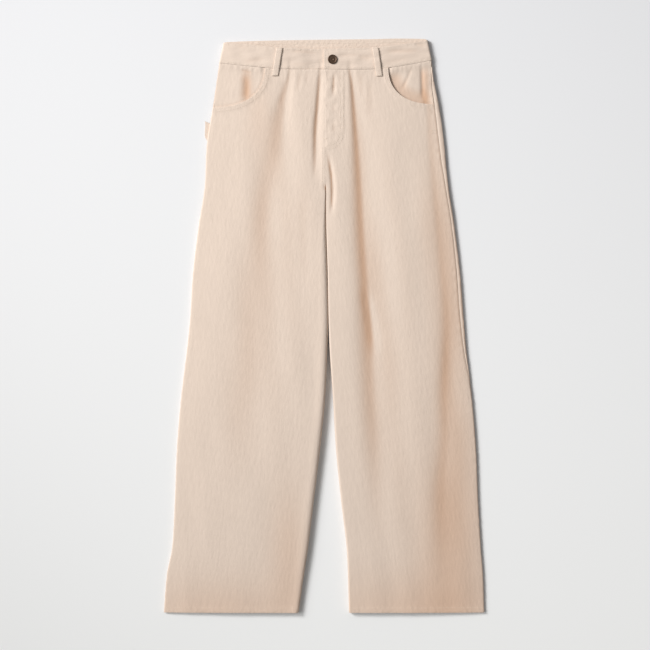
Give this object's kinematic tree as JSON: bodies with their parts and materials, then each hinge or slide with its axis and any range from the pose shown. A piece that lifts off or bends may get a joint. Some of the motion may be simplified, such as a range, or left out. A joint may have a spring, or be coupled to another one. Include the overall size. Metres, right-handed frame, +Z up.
{
  "type": "baggy jeans",
  "caption": "Wide-leg needlecord jeans laid flat: two hollow legs, a waistband with belt loops, scooped pockets, a fastened metal button and a hammer loop.",
  "frame": {"origin": "middle of the underside of the garment's box, on the surface that it lies on", "axes": "+X towards the wearer's left, +Y from the hems up to the waist, +Z up out of the front"},
  "size_m": [0.58, 1.0371, 0.0255],
  "materials": {
    "needlecord": "fine-wale cotton corduroy, soft and matt with a light nap",
    "button_metal": "dark antique brown, satin"
  },
  "bodies": {
    "root": {"front_right": "needlecord", "front_left": "needlecord", "back_right": "needlecord", "back_left": "needlecord", "yoke_right": "needlecord", "yoke_left": "needlecord", "waistband": "needlecord", "pocket_facing_right": "needlecord", "pocket_facing_left": "needlecord", "back_pocket_right": "needlecord", "back_pocket_left": "needlecord", "belt_loop_front_right": "needlecord", "belt_loop_front_left": "needlecord", "belt_loop_side_right": "needlecord", "belt_loop_side_left": "needlecord", "belt_loop_back": "needlecord", "hammer_loop": "needlecord", "button": "button_metal"}
  },
  "joints": []
}
